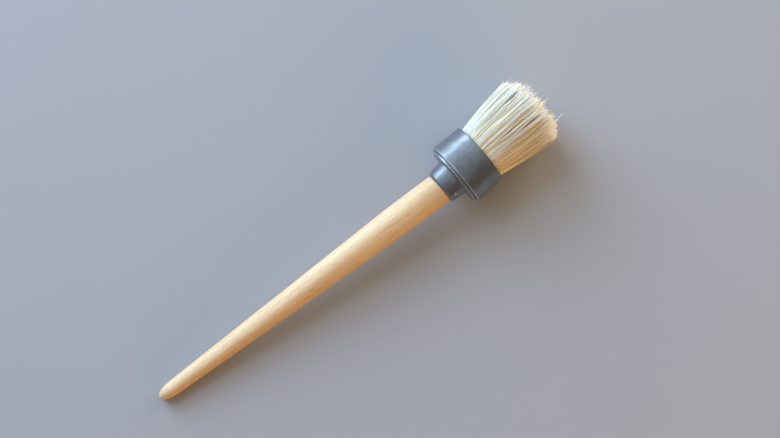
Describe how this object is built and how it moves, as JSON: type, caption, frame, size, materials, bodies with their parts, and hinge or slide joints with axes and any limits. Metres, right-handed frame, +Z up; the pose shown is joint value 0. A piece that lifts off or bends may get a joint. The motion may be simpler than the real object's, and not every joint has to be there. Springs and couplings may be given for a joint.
{
  "type": "round pastry brush",
  "caption": "Round natural-bristle pastry brush with a long tapered wooden handle, a stepped steel ferrule and a flared tuft, lying on its side.",
  "frame": {"origin": "on the table under the centre of the brush's bounding box, the brush lying on its side at rest", "axes": "+X along the handle towards the bristles, +Z up from the table; the head leans a few degrees from the handle towards +Y"},
  "size_m": [0.256, 0.0426, 0.04],
  "materials": {
    "handle_wood": "turned pale beech, fine sanded, bare",
    "ferrule_steel": "dull zinc-plated sheet, faint turning lines, worn rims",
    "brad_steel": "bare steel, slightly rubbed",
    "fibre_board": "pressed fibre, matt",
    "resin": "cured amber resin",
    "plug_wood": "turned softwood, bare",
    "bristle": "cream natural bristle, split tips, soft sheen"
  },
  "bodies": {
    "root": {"handle": "handle_wood", "ferrule_cap": "ferrule_steel", "ferrule_band": "ferrule_steel", "ferrule_brads": "brad_steel", "backing_disc": "fibre_board", "setting_resin": "resin", "root_plug": "plug_wood", "bristle_lock_outer_01": "bristle", "bristle_lock_outer_02": "bristle", "bristle_lock_outer_03": "bristle", "bristle_lock_outer_04": "bristle", "bristle_lock_outer_05": "bristle", "bristle_lock_outer_06": "bristle", "bristle_lock_outer_07": "bristle", "bristle_lock_outer_08": "bristle", "bristle_lock_outer_09": "bristle", "bristle_lock_outer_10": "bristle", "bristle_lock_outer_11": "bristle", "bristle_lock_outer_12": "bristle", "bristle_lock_inner_01": "bristle", "bristle_lock_inner_02": "bristle", "bristle_lock_inner_03": "bristle", "bristle_lock_inner_04": "bristle", "bristle_lock_inner_05": "bristle", "bristle_lock_inner_06": "bristle"}
  },
  "joints": []
}
